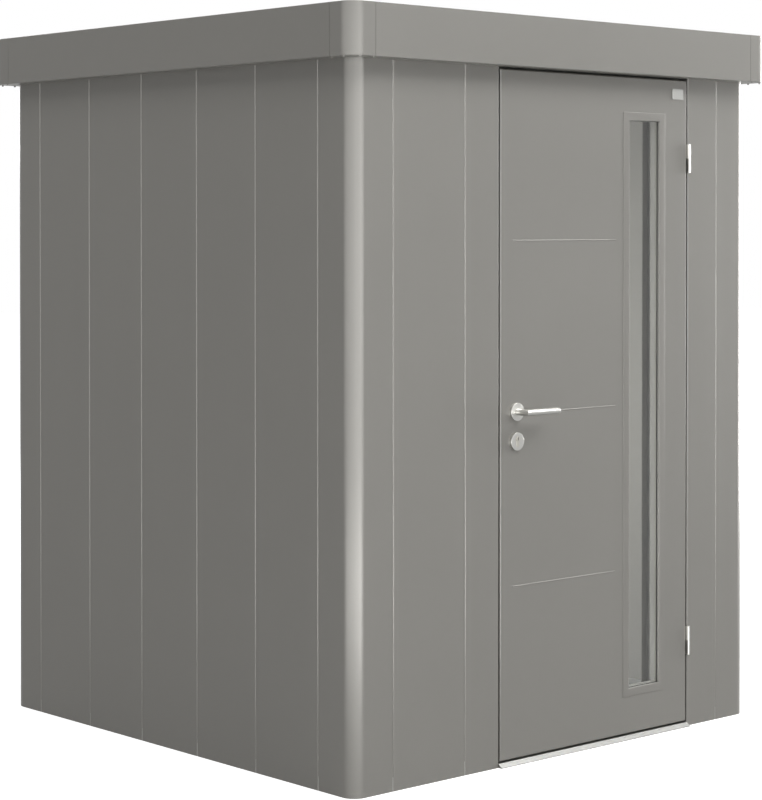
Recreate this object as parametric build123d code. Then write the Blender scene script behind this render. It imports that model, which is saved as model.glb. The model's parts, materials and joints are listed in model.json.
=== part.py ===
# Flat-roofed metal tool shed with one glazed door, made of folded sheet-metal pieces.
# All lengths are in millimetres. The origin is on the ground at the centre of the
# square of walls, +Z is up and the door is in the front wall, which faces -Y.
from build123d import *

import os

# Walls
wall_width = 1700.0
wall_depth = 1700.0
wall_height = 2100.0
corner_radius = 42.0
corner_leg = 150.0
panels_per_side = 5
joint_gap = 0.5

# Folded sheet
sheet = 1.5
bend_radius = 3.0
flange_depth = 25.0

# Slots in one flange of each joint, where the neighbouring panel is hooked in
slot_first = 62.0
slot_pitch = 150.0
slot_length = 28.0
slot_width = 4.0
slot_inset = 14.0

# Rails at the foot and at the top of the walls
rail_sheet = 2.0
rail_leg = 40.0
rail_foot = 60.0
anchor_radius = 5.5
anchor_inset = 42.0
anchor_spacing = 1300.0
fascia_upstand = 48.0

# Doorway in the front wall, which takes the width of four panels with its jambs
doorway_panels = 4
jamb_left_width = 136.0
jamb_right_width = 141.0
head_height = 45.0
rebate_depth = 44.0
stop_lap = 19.0
post_depth = 65.0
post_lip = 40.0

# Threshold, a hollow extrusion with a sloping nose
threshold_top = 12.0
threshold_nose = 14.0
threshold_nose_edge = 2.0
threshold_stop = 32.0
threshold_wall = 2.5

# Roof edge
overhang = 50.0
fascia_height = 150.0
fascia_radius = 45.0
fascia_corner_length = 90.0
fascia_seam = 1.2
fascia_top_lip = 30.0
fascia_edge = 1.2
soffit_clearance = 1.0

# Roof deck, which falls to a gutter along the back
deck_clearance = 4.0
deck_panels = 6
deck_fall = 0.015
seam_height = 25.0
seam_gap = 0.5
seam_hook_length = 7.5
deck_rib_height = 8.0
deck_rib_foot = 26.0
deck_rib_top = 16.0
beam_count = 4
beam_width = 40.0
beam_gutter_gap = 30.0
gutter_width = 90.0
gutter_height = 40.0
gutter_lap = 15.0
gutter_clearance = 3.0

# Door leaf
door_gap = 6.5
door_bottom = 18.0
door_top_gap = 7.0
door_thickness = 38.0
bead_first = 527.0
bead_pitch = 509.5
bead_count = 3
bead_start = 52.5
bead_window_gap = 39.0
bead_radius = 2.2
bead_sink = 1.0
bead_rosette_gap = 1.0

# Long window in the leaf
window_width = 140.0
window_head = 133.0
window_sill = 157.0
window_from_hinge_edge = 199.0
frame_border = 27.0
frame_end_border = 25.5
frame_proud = 1.5
frame_edge = 0.7
collar_wall = 3.0
pane_setback = 8.0
pane_thickness = 4.0
pane_margin = 12.0

# Badge plate near the top of the leaf, left blank
badge_width = 53.0
badge_height = 33.0
badge_thickness = 1.5
badge_corner_radius = 1.5
badge_from_hinge_edge = 43.0
badge_from_top = 44.0

# Lever handle and lock
backset = 65.0
handle_height = 1041.0
lock_centres = 87.0
rosette_radius = 26.5
rosette_thickness = 8.0
rosette_edge = 2.0
lever_radius = 9.5
lever_reach = 60.0
lever_length = 130.0
lever_tip_edge = 1.9
lever_running_gap = 0.3
lever_hole_gap = 2.0
spindle_size = 8.0
spindle_socket = 20.0
follower_radius = 8.0
cylinder_radius = 8.5
cylinder_stem_width = 10.0
cylinder_stem_height = 33.0
cylinder_stem_radius = 4.0
cylinder_proud = 1.0
cylinder_gap = 0.3
keyway_width = 2.0
keyway_height = 9.0
keyway_depth = 4.0
lock_case_width = 98.0
lock_case_end = 46.5
lock_case_thickness = 16.0
lock_plate_end = 74.0
lock_plate_width = 22.0
lock_plate_thickness = 2.0
bolt_height = 30.0
bolt_width = 12.0
latch_height = 20.0

# Lift-off hinges
hinge_from_bottom = 255.0
hinge_from_top = 246.0
hinge_height = 90.0
hinge_split = 1.0
knuckle_radius = 4.5
hinge_axis_out = 6.0
hinge_axis_past_edge = 7.5
pin_radius = 2.5
pin_running_gap = 0.06
strap_thickness = 2.0
strap_depth = 32.0

# Places worked out from the sizes above
front_pitch = (wall_width - 2 * corner_leg) / panels_per_side
front_y = -wall_depth / 2
opening_width = doorway_panels * front_pitch - jamb_left_width - jamb_right_width
opening_right = wall_width / 2 - corner_leg - jamb_right_width
opening_left = opening_right - opening_width
opening_top = wall_height - head_height
leaf_left = opening_left + door_gap
leaf_right = opening_right - door_gap
leaf_top = opening_top - door_top_gap
window_x = leaf_right - window_from_hinge_edge
window_height = leaf_top - window_head - window_sill
window_z = window_sill + window_height / 2
handle_x = leaf_left + backset
cylinder_height = handle_height - lock_centres
hinge_x = leaf_right + hinge_axis_past_edge
hinge_y = front_y - hinge_axis_out
hinge_centres = (door_bottom + hinge_from_bottom, leaf_top - hinge_from_top)
rail_top = wall_height + rail_sheet
deck_margin = sheet + (fascia_radius - sheet) * (1 - 0.5**0.5) + deck_clearance
roof_width = wall_width + 2 * overhang
roof_depth = wall_depth + 2 * overhang
fascia_bottom = opening_top
fascia_top = fascia_bottom + fascia_height

across = (1, 0, 0)
sides = ("front", "right", "back", "left")


def wall_length(side):
    """Outside length of a wall."""
    return wall_width if side in ("front", "back") else wall_depth


def on_wall(side):
    """Place on a wall: X runs along it, Y runs inwards from its outer face."""
    reach = (wall_width + wall_depth - wall_length(side)) / 2
    quarter_turns = sides.index(side)
    return Rot(0, 0, 90 * quarter_turns) * Pos(0, -reach, 0)


def block(x_range, y_range, z_range):
    """Box between three pairs of limits."""
    sizes = [high - low for low, high in (x_range, y_range, z_range)]
    centre = [(high + low) / 2 for low, high in (x_range, y_range, z_range)]
    return Pos(*centre) * Box(*sizes)


def fold_line(points, radii):
    """Line through the points with the given radius at each bend, or with sharp bends."""
    if radii is None:
        return Polyline(*points)
    return FilletPolyline(*points, radius=radii)


def folded(points, thickness=sheet, radius=bend_radius, round_bends=None):
    """Section of a folded sheet. Its face follows the points and the metal lies to their left.

    Bends have the given radius outside, or are sharp where it is None; round_bends gives
    another radius to single points by their number.
    """
    round_bends = round_bends or {}
    line = [Vector(*point) for point in points]
    steps = [(end - start).normalized() for start, end in zip(line, line[1:])]
    normals = [Vector(-step.Y, step.X) for step in steps]
    face_radii = []
    back_radii = []
    back = [line[0] + normals[0] * thickness]
    for index in range(1, len(line) - 1):
        before = normals[index - 1]
        after = normals[index]
        back.append(line[index] + (before + after) * (thickness / (1 + before.dot(after))))
        if radius is not None:
            turn = steps[index - 1].cross(steps[index]).Z
            outside = round_bends.get(index, radius)
            inside = outside - thickness
            face_radii.append(outside if turn > 0 else inside)
            back_radii.append(inside if turn > 0 else outside)
    back.append(line[-1] + normals[-1] * thickness)
    face = fold_line(line, face_radii or None)
    rear = fold_line(back, back_radii or None)
    ends = [Line(line[0], back[0]).edge(), Line(line[-1], back[-1]).edge()]
    return make_face([*face.edges(), *rear.edges(), *ends])


def drawn(section, length, direction=(0, 0, 1)):
    """Section drawn out along a direction, upwards unless told otherwise."""
    return extrude(section, length, dir=direction)


def rounded_plate(width, depth, radius, low, high):
    """Flat plate with rounded corners, centred on the shed."""
    return Pos(0, 0, low) * drawn(RectangleRounded(width, depth, radius), high - low)


def slots(x_range):
    """Cutters for the row of slots in the flange that stands between two X limits."""
    count = int((wall_height - slot_first - slot_length) // slot_pitch) + 1
    y_range = (slot_inset - slot_width / 2, slot_inset + slot_width / 2)
    cutters = []
    for index in range(count):
        middle = slot_first + index * slot_pitch
        cutters.append(block(x_range, y_range, (middle - slot_length / 2, middle + slot_length / 2)))
    return cutters


def rail_room(x_range, foot_x_range=None):
    """Space that the foot rail and the top rail take up behind a wall's skin."""
    leg_y = (sheet, sheet + rail_sheet)
    foot_x_range = foot_x_range or x_range
    return [
        block(foot_x_range, leg_y, (0, rail_leg)),
        block(foot_x_range, (sheet, sheet + rail_foot), (0, rail_sheet)),
        block(x_range, leg_y, (wall_height - rail_leg, wall_height)),
    ]


def wall_panel(width):
    """Cassette: flat skin with a flange folded inwards at each side, the one at its +X side slotted."""
    half = (width - joint_gap) / 2
    section = folded([(-half, flange_depth), (-half, 0), (half, 0), (half, flange_depth)])
    panel = drawn(section, wall_height)
    return panel - slots((half - 2 * sheet, half + sheet)) - rail_room((-half - sheet, half + sheet))


def wall_panels(side, count):
    """The row of like cassettes that starts at the corner piece on the -X side of a wall."""
    length = wall_length(side)
    pitch = (length - 2 * corner_leg) / panels_per_side
    panel = wall_panel(pitch)
    first = -length / 2 + corner_leg + pitch / 2
    return [on_wall(side) * Pos(first + index * pitch, 0, 0) * panel for index in range(count)]


def corner_piece():
    """Rounded corner with a flange at the end of each leg, its outer corner at the origin.

    The flange of the leg along +X is slotted, and the other one hooks into the last cassette
    of the next wall.
    """
    leg = corner_leg - joint_gap / 2
    outer_corner = (0, 0)
    points = [(flange_depth, leg), (0, leg), outer_corner, (leg, 0), (leg, flange_depth)]
    round_bends = {points.index(outer_corner): corner_radius}
    piece = drawn(folded(points, round_bends=round_bends), wall_height)
    leg_end = (leg - 2 * sheet, leg + sheet)
    other_leg = mirror(Part() + rail_room(leg_end), Plane((0, 0, 0), x_dir=(0, 0, 1), z_dir=(1, -1, 0)))
    return piece - slots(leg_end) - rail_room(leg_end) - other_leg


def foot_rail(half_length, from_x=None):
    """Angle on the ground inside a wall, with its leg against the wall's skin."""
    from_x = -half_length if from_x is None else from_x
    leg = block((from_x, half_length), (sheet, sheet + rail_sheet), (0, rail_leg))
    foot = block((from_x, half_length), (sheet, sheet + rail_foot), (0, rail_sheet))
    return leg + foot


def anchored(rail):
    """Rail with its anchor holes, one near each end."""
    for place in (-anchor_spacing / 2, anchor_spacing / 2):
        rail -= Pos(place, anchor_inset, rail_sheet / 2) * Cylinder(anchor_radius, 2 * rail_sheet)
    return rail


def top_rail(side):
    """Rail on top of a wall: inner leg, wide plate mitred at its ends, and outer upstand for the fascia."""
    length = wall_length(side)
    reach = overhang - sheet - rail_sheet
    straight = length / 2 - corner_radius
    radius = fascia_radius - sheet - rail_sheet
    plate = rounded_plate(wall_width + 2 * reach, wall_depth + 2 * reach, radius, wall_height, rail_top)
    inner_width = wall_width - 2 * rail_foot
    inner_depth = wall_depth - 2 * rail_foot
    plate -= block(
        (-inner_width / 2, inner_width / 2), (-inner_depth / 2, inner_depth / 2), (wall_height, rail_top)
    )
    end = length / 2 + reach
    inner_end = length / 2 - rail_foot
    corners = [(-end, -reach), (end, -reach), (inner_end, rail_foot), (-inner_end, rail_foot)]
    mitred = Polygon(*corners, align=None)
    plate &= on_wall(side) * Pos(0, 0, wall_height) * drawn(mitred, rail_sheet)
    leg = block((-straight, straight), (sheet, sheet + rail_sheet), (wall_height - rail_leg, wall_height))
    upstand_half = length / 2 + overhang - fascia_radius
    upstand_z = (wall_height, wall_height + fascia_upstand)
    upstand = block((-upstand_half, upstand_half), (-reach - rail_sheet, -reach), upstand_z)
    return plate + on_wall(side) * (leg + upstand)


def jamb_points(joint, opening, lap, lip):
    """Outline of a jamb from its joint to the lip of its post; lap and lip carry the side's sign."""
    return [
        (joint, flange_depth),
        (joint, 0),
        (opening, 0),
        (opening, rebate_depth),
        (opening + lap, rebate_depth),
        (opening + lap, post_depth),
        (opening - lip, post_depth),
    ]


def door_jamb_left():
    """Folded post on the lock side, with a flush opening for the strike plate."""
    joint = opening_left - jamb_left_width + joint_gap / 2
    jamb = drawn(folded(jamb_points(joint, opening_left, stop_lap, post_lip)), wall_height)
    jamb -= rail_room((joint - sheet, opening_left + sheet), (joint - sheet, opening_left - sheet))
    return on_wall("front") * (jamb - strike_blank())


def door_jamb_right():
    """Folded post on the hinge side, with the slotted flange of the joint to the corner piece."""
    joint = opening_right + jamb_right_width - joint_gap / 2
    outline = jamb_points(joint, opening_right, -stop_lap, -post_lip)
    jamb = drawn(folded(outline[::-1]), wall_height)
    jamb -= slots((joint - 2 * sheet, joint + sheet))
    jamb -= rail_room((opening_right - sheet, joint + sheet), (opening_right + sheet, joint + sheet))
    return on_wall("front") * jamb


def between_jambs(section):
    """Extrude a section given in Y and Z across the doorway, cut short where the jambs' stops stand."""
    piece = Pos(opening_left, 0, 0) * drawn(Plane.YZ * section, opening_width, across)
    tall = (0, wall_height)
    behind = (rebate_depth - bend_radius, post_depth)
    piece -= block((opening_left, opening_left + stop_lap), behind, tall)
    piece -= block((opening_right - stop_lap, opening_right), behind, tall)
    return on_wall("front") * piece


def door_head():
    """Folded head over the doorway with a stop behind the leaf's top edge."""
    stop = opening_top - stop_lap
    points = [
        (0, wall_height),
        (0, opening_top),
        (rebate_depth, opening_top),
        (rebate_depth, stop),
        (post_depth, stop),
        (post_depth, opening_top),
    ]
    return between_jambs(folded(points))


def door_threshold():
    """Hollow threshold with a sloping nose outside and a stop inside the leaf."""
    outline = Polygon(
        (-threshold_nose, 0),
        (-threshold_nose, threshold_nose_edge),
        (0, threshold_top),
        (rebate_depth, threshold_top),
        (rebate_depth, threshold_stop),
        (post_depth, threshold_stop),
        (post_depth, 0),
        align=None,
    )
    tread = Polygon(
        (threshold_wall, threshold_wall),
        (threshold_wall, threshold_top - threshold_wall),
        (rebate_depth - threshold_wall, threshold_top - threshold_wall),
        (rebate_depth - threshold_wall, threshold_wall),
        align=None,
    )
    stop = Polygon(
        (rebate_depth + threshold_wall, threshold_wall),
        (rebate_depth + threshold_wall, threshold_stop - threshold_wall),
        (post_depth - threshold_wall, threshold_stop - threshold_wall),
        (post_depth - threshold_wall, threshold_wall),
        align=None,
    )
    return between_jambs(outline - tread - stop)


def fascia_ring():
    """Roof edge all round: upright web with a lip inwards at its top and a soffit back to the walls."""
    middle = fascia_bottom + fascia_height / 2
    ring = rounded_plate(roof_width, roof_depth, fascia_radius, fascia_bottom, fascia_top)
    edges = ring.faces().sort_by(Axis.Z)[0].edges() + ring.faces().sort_by(Axis.Z)[-1].edges()
    ring = chamfer(edges, fascia_edge)
    ring -= rounded_plate(
        roof_width - 2 * sheet,
        roof_depth - 2 * sheet,
        fascia_radius - sheet,
        fascia_bottom + sheet,
        fascia_top - sheet,
    )
    ring -= rounded_plate(
        roof_width - 2 * fascia_top_lip,
        roof_depth - 2 * fascia_top_lip,
        fascia_radius - fascia_top_lip,
        middle,
        fascia_top,
    )
    ring -= rounded_plate(wall_width, wall_depth, corner_radius - soffit_clearance, fascia_bottom, middle)
    return ring


def fascia(side, ring):
    """Straight fascia between two corner pieces."""
    half = wall_length(side) / 2 + overhang - fascia_corner_length - fascia_seam / 2
    clip = block((-half, half), (-2 * overhang, 2 * overhang), (fascia_bottom, fascia_top))
    return ring & (on_wall(side) * clip)


def fascia_corners(ring):
    """The four rounded corner pieces of the roof edge."""
    corners = []
    leg = fascia_corner_length - fascia_seam / 2
    for x_side in (-1, 1):
        for y_side in (-1, 1):
            x_range = sorted((x_side * roof_width / 2, x_side * (roof_width / 2 - leg)))
            y_range = sorted((y_side * roof_depth / 2, y_side * (roof_depth / 2 - leg)))
            corners.append(ring & block(x_range, y_range, (fascia_bottom, fascia_top)))
    return corners


deck_width = roof_width - 2 * deck_margin
deck_front = -roof_depth / 2 + deck_margin
gutter_back = roof_depth / 2 - deck_margin
gutter_front = gutter_back - gutter_width
deck_back = gutter_front + gutter_lap
deck_low = rail_top + gutter_height + gutter_clearance


def deck_level(y):
    """Height of the deck's underside at a place from front to back."""
    return deck_low + deck_fall * (deck_back - y)


def roof_panels():
    """Ribbed deck trays; each one's right seam hooks over the next one's left seam."""
    pitch = deck_width / deck_panels
    half = (pitch - seam_gap) / 2
    hook = sheet + 2 * seam_gap
    points = [
        (-half, seam_height - seam_gap),
        (-half, 0),
        (-deck_rib_foot, 0),
        (-deck_rib_top, deck_rib_height),
        (deck_rib_top, deck_rib_height),
        (deck_rib_foot, 0),
        (half, 0),
        (half, seam_height),
        (half + hook, seam_height),
        (half + hook, seam_height - seam_hook_length),
    ]
    section = folded(points, radius=None)
    plain_section = folded(points[:-2], radius=None)
    run = deck_back - deck_front
    panels = []
    for index in range(deck_panels):
        is_last = index == deck_panels - 1
        middle = -deck_width / 2 + (index + 0.5) * pitch
        place = Pos(middle, deck_front, deck_level(deck_front))
        profile = Plane.XZ * (plain_section if is_last else section)
        slope = Vector(0, 1, -deck_fall)
        panels.append(place * drawn(profile, run * slope.length, slope.normalized()))
    return panels


def roof_beams():
    """Channels across the shed, their tops at the slope of the deck."""
    first = front_y
    last = gutter_front - beam_gutter_gap
    beams = []
    for index in range(beam_count):
        middle = first + index * (last - first) / (beam_count - 1)
        near = middle - beam_width / 2
        far = middle + beam_width / 2
        points = [(far, rail_top), (far, deck_level(far)), (near, deck_level(near)), (near, rail_top)]
        section = folded(points, thickness=rail_sheet)
        beams.append(Pos(-deck_width / 2, 0, 0) * drawn(Plane.YZ * section, deck_width, across))
    return beams


def roof_gutter():
    """Open gutter with closed ends behind the back fascia."""
    top = rail_top + gutter_height
    points = [(gutter_front, top), (gutter_front, rail_top), (gutter_back, rail_top), (gutter_back, top)]
    gutter = Pos(-deck_width / 2, 0, 0) * drawn(Plane.YZ * folded(points), deck_width, across)
    for end in (-deck_width / 2, deck_width / 2 - sheet):
        gutter += block((end, end + sheet), (gutter_front, gutter_back), (rail_top + bend_radius, top))
    return gutter


def through_leaf(shape_x, shape_z, sketch):
    """Cutter of a given outline that passes right through the leaf."""
    drilled = extrude(Plane.XZ * sketch, 2 * door_thickness, both=True)
    return Pos(shape_x, door_thickness / 2, shape_z) * drilled


def cylinder_outline(gap=0.0):
    """Profile of the lock cylinder: a round plug over a narrow stem, centred on its height."""
    top = cylinder_stem_height / 2
    plug_middle = top - cylinder_radius
    stem_low = -top - gap
    width = cylinder_stem_width + 2 * gap
    plug = Pos(0, plug_middle) * Circle(cylinder_radius + gap)
    stem = Pos(0, (stem_low + plug_middle) / 2) * RectangleRounded(
        width, plug_middle - stem_low, cylinder_stem_radius
    )
    root = Pos(0, plug_middle) * Rectangle(width, 2 * cylinder_stem_radius)
    return plug + stem + root


def leaf_cuts():
    """Window and lock holes that both skins of the leaf share."""
    window = Rectangle(window_width + 2 * collar_wall, window_height + 2 * collar_wall)
    return [
        through_leaf(window_x, window_z, window),
        through_leaf(handle_x, handle_height, Circle(lever_radius + lever_hole_gap)),
        through_leaf(handle_x, cylinder_height, cylinder_outline(cylinder_gap)),
    ]


def lock_plate_blank(low_x, high_x):
    """Flush plate on the edge of the leaf or of the jamb, with the same height at both."""
    y_range = ((door_thickness - lock_plate_width) / 2, (door_thickness + lock_plate_width) / 2)
    return block((low_x, high_x), y_range, (cylinder_height - lock_plate_end, handle_height + lock_plate_end))


def bolts(low_x, high_x):
    """Latch beside the handle and dead bolt beside the cylinder."""
    y_range = ((door_thickness - bolt_width) / 2, (door_thickness + bolt_width) / 2)
    bars = []
    for middle, height in ((handle_height, latch_height), (cylinder_height, bolt_height)):
        bars.append(block((low_x, high_x), y_range, (middle - height / 2, middle + height / 2)))
    return bars


def strike_blank():
    """Opening in the jamb's return that the strike plate fills."""
    return lock_plate_blank(opening_left - sheet, opening_left)


def strike_plate():
    """Flush plate in the jamb with a hole for the latch and one for the dead bolt."""
    plate = strike_blank() - bolts(opening_left - 2 * sheet, opening_left + sheet)
    return on_wall("front") * plate


def lock_faceplate():
    """Flush plate in the leaf's edge, round both bolts."""
    plate = lock_plate_blank(leaf_left, leaf_left + lock_plate_thickness)
    return on_wall("front") * (plate - bolts(leaf_left, leaf_left + lock_plate_thickness))


def lock_case():
    """Lock case inside the leaf, its two bolts drawn back flush with the faceplate."""
    back_of_plate = leaf_left + lock_plate_thickness
    case = block(
        (back_of_plate, back_of_plate + lock_case_width),
        ((door_thickness - lock_case_thickness) / 2, (door_thickness + lock_case_thickness) / 2),
        (cylinder_height - lock_case_end, handle_height + lock_case_end),
    )
    case = Part() + [case, *bolts(leaf_left, back_of_plate)]
    case -= through_leaf(handle_x, handle_height, Circle(follower_radius))
    case -= through_leaf(handle_x, cylinder_height, cylinder_outline(cylinder_gap))
    return on_wall("front") * case


def rosette_room():
    """Round space that a bead leaves free for the rosette of the lever."""
    return through_leaf(handle_x, handle_height, Circle(rosette_radius + bead_rosette_gap))


def door_outer_skin():
    """Outer tray of the leaf with three raised beads across it."""
    depth = door_thickness - sheet
    tray = block((leaf_left, leaf_right), (0, depth), (door_bottom, leaf_top))
    tray = fillet(tray.faces().sort_by(Axis.Y)[0].edges(), bend_radius)
    tray -= block(
        (leaf_left + sheet, leaf_right - sheet), (sheet, depth), (door_bottom + sheet, leaf_top - sheet)
    )
    start = leaf_left + bead_start
    end = window_x - window_width / 2 - frame_border - bead_window_gap
    length = end - start
    outline = extrude(Plane.XZ * SlotCenterToCenter(length, 2 * bead_radius), bead_radius)
    bar = Pos(0, bead_sink, 0) * Rot(0, 90, 0) * Cylinder(bead_radius, length + 2 * bead_radius)
    bead = Pos((start + end) / 2, 0, 0) * (bar & (Pos(0, sheet / 2, 0) * outline))
    for index in range(bead_count):
        tray += Pos(0, 0, bead_first + index * bead_pitch) * bead - rosette_room()
    for cutter in leaf_cuts():
        tray -= cutter
    tray -= lock_plate_blank(leaf_left, leaf_left + sheet)
    return on_wall("front") * tray


def door_inner_skin():
    """Flat inner sheet that closes the back of the leaf."""
    plate = block((leaf_left, leaf_right), (door_thickness - sheet, door_thickness), (door_bottom, leaf_top))
    for cutter in leaf_cuts():
        plate -= cutter
    return on_wall("front") * plate


def window_plate(width, height, y_range):
    """Upright rectangular plate centred on the window."""
    x_range = (window_x - width / 2, window_x + width / 2)
    return block(x_range, y_range, (window_z - height / 2, window_z + height / 2))


def window_frame(face_y, skin_y, pane_y):
    """Flat trim on the leaf's face with a collar from it to the pane."""
    trim_range = sorted((face_y, skin_y))
    trim = window_plate(window_width + 2 * frame_border, window_height + 2 * frame_end_border, trim_range)
    visible = trim.faces().filter_by(Axis.Y).sort_by(lambda found: abs(found.center().Y - face_y))[0]
    trim = chamfer(visible.edges(), frame_edge)
    collar_range = sorted((skin_y, pane_y))
    trim += window_plate(window_width + 2 * collar_wall, window_height + 2 * collar_wall, collar_range)
    trim -= window_plate(window_width, window_height, sorted((face_y, pane_y)))
    return on_wall("front") * trim


def window_pane():
    """Clear sheet held between the two collars."""
    width = window_width + 2 * pane_margin
    height = window_height + 2 * pane_margin
    return on_wall("front") * window_plate(width, height, (pane_setback, pane_setback + pane_thickness))


def badge_plate():
    """Small blank plate on the leaf."""
    plate = RectangleRounded(badge_width, badge_height, badge_corner_radius)
    height = leaf_top - badge_from_top
    return on_wall("front") * Pos(leaf_right - badge_from_hinge_edge, 0, height) * extrude(
        Plane.XZ * plate, badge_thickness
    )


def rosette(hole):
    """Round cover on the leaf's outer face with a bevelled rim; its hole is a sketch."""
    disc = extrude(Plane.XZ * Circle(rosette_radius), rosette_thickness)
    disc = chamfer(disc.faces().sort_by(Axis.Y)[0].edges(), rosette_edge)
    return disc - extrude(Plane.XZ * hole, 2 * rosette_thickness, both=True)


def both_faces(piece, height):
    """A cover on the outer face of the leaf and its mirror image on the inner face."""
    outer = Pos(handle_x, 0, height) * piece
    inner = mirror(outer, Plane.XZ.offset(-door_thickness / 2))
    return [on_wall("front") * outer, on_wall("front") * inner]


def lever_rosettes():
    """Round covers of the lever handle."""
    return both_faces(rosette(Circle(lever_radius + lever_running_gap)), handle_height)


def cylinder_rosettes():
    """Round covers of the lock cylinder."""
    return both_faces(rosette(cylinder_outline(cylinder_gap)), cylinder_height)


def lock_cylinder():
    """Profile cylinder through the leaf with a keyway at each end."""
    proud = rosette_thickness + cylinder_proud
    length = door_thickness + 2 * proud
    body = Pos(0, door_thickness + proud, 0) * extrude(Plane.XZ * cylinder_outline(), length)
    plug_z = cylinder_stem_height / 2 - cylinder_radius
    keyway_x = (-keyway_width / 2, keyway_width / 2)
    keyway_z = (plug_z - keyway_height / 2, plug_z + keyway_height / 2)
    body -= block(keyway_x, (-proud, -proud + keyway_depth), keyway_z)
    body -= block(keyway_x, (door_thickness + proud - keyway_depth, door_thickness + proud), keyway_z)
    return on_wall("front") * Pos(handle_x, 0, cylinder_height) * body


def lever():
    """Outer lever: round neck out of its rosette and round grip towards the hinges, mitred together."""
    grip_y = lever_radius - lever_reach
    path = Polyline((0, -lever_running_gap), (0, grip_y), (lever_length, grip_y))
    section = Plane((0, -lever_running_gap, 0), z_dir=(0, -1, 0)) * Circle(lever_radius)
    bar = sweep(section, path=path, transition=Transition.RIGHT)
    tip = bar.faces().sort_by(Axis.X)[-1]
    bar = chamfer(tip.edges(), lever_tip_edge)
    half = spindle_size / 2
    return bar - block((-half, half), (-spindle_socket, 0), (-half, half))


def levers():
    """Outer lever and its mirror image inside."""
    outer = Pos(handle_x, 0, handle_height) * lever()
    inner = mirror(outer, Plane.XZ.offset(-door_thickness / 2))
    return on_wall("front") * outer, on_wall("front") * inner


def handle_spindle():
    """Square bar that joins the two levers through the lock."""
    half = spindle_size / 2
    bar = block((-half, half), (-spindle_socket, door_thickness + spindle_socket), (-half, half))
    return on_wall("front") * Pos(handle_x, 0, handle_height) * bar


def knuckle(low, high):
    """Stretch of hinge barrel on the hinge line."""
    return Pos(hinge_x, hinge_y, (low + high) / 2) * Cylinder(knuckle_radius, high - low)


def jamb_hinges():
    """Lower knuckle, pin and strap of each hinge, fixed on the jamb's return."""
    hinges = []
    for centre in hinge_centres:
        low = centre - hinge_height / 2
        high = centre - hinge_split / 2
        pin_top = centre + hinge_height / 2 - knuckle_radius
        strap = block(
            (opening_right - strap_thickness, opening_right), (hinge_y, front_y + strap_depth), (low, high)
        )
        pin = Pos(hinge_x, hinge_y, (high + pin_top) / 2) * Cylinder(pin_radius, pin_top - high)
        hinges.append(knuckle(low, high) + strap + pin)
    return hinges


def door_hinges():
    """Upper knuckle and strap of each hinge, fixed on the leaf's edge."""
    bore_radius = pin_radius + pin_running_gap
    bridge_end = hinge_x - (bore_radius + knuckle_radius) / 2
    strap_x = (leaf_right, leaf_right + strap_thickness)
    hinges = []
    for centre in hinge_centres:
        low = centre + hinge_split / 2
        high = centre + hinge_height / 2
        pin_top = high - knuckle_radius
        strap = block(strap_x, (hinge_y, front_y + strap_depth), (low, high))
        bridge = block((leaf_right, bridge_end), (hinge_y, hinge_y + strap_thickness), (low, high))
        bore_depth = pin_top + pin_running_gap - low
        bore = Pos(hinge_x, hinge_y, low + bore_depth / 2) * Cylinder(bore_radius, bore_depth)
        hinges.append(knuckle(low, high) - bore + strap + bridge)
    return hinges


def corner_pieces():
    """The four corner pieces by name."""
    piece = corner_piece()
    x = wall_width / 2
    y = wall_depth / 2
    return {
        "corner_front_left": Pos(-x, -y, 0) * piece,
        "corner_front_right": Pos(x, -y, 0) * Rot(0, 0, 90) * piece,
        "corner_back_right": Pos(x, y, 0) * Rot(0, 0, 180) * piece,
        "corner_back_left": Pos(-x, y, 0) * Rot(0, 0, 270) * piece,
    }


def foot_rails():
    """Rails on the ground inside the walls; the front one stops at the doorway."""
    side_half = wall_depth / 2 - corner_radius
    end_half = wall_width / 2 - sheet - rail_foot
    left_part = foot_rail(opening_left - sheet, -end_half)
    right_part = foot_rail(end_half, opening_right + sheet)
    return {
        "floor_rail_left": on_wall("left") * anchored(foot_rail(side_half)),
        "floor_rail_right": on_wall("right") * anchored(foot_rail(side_half)),
        "floor_rail_back": on_wall("back") * foot_rail(end_half),
        "floor_rail_front": [on_wall("front") * left_part, on_wall("front") * right_part],
    }


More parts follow.
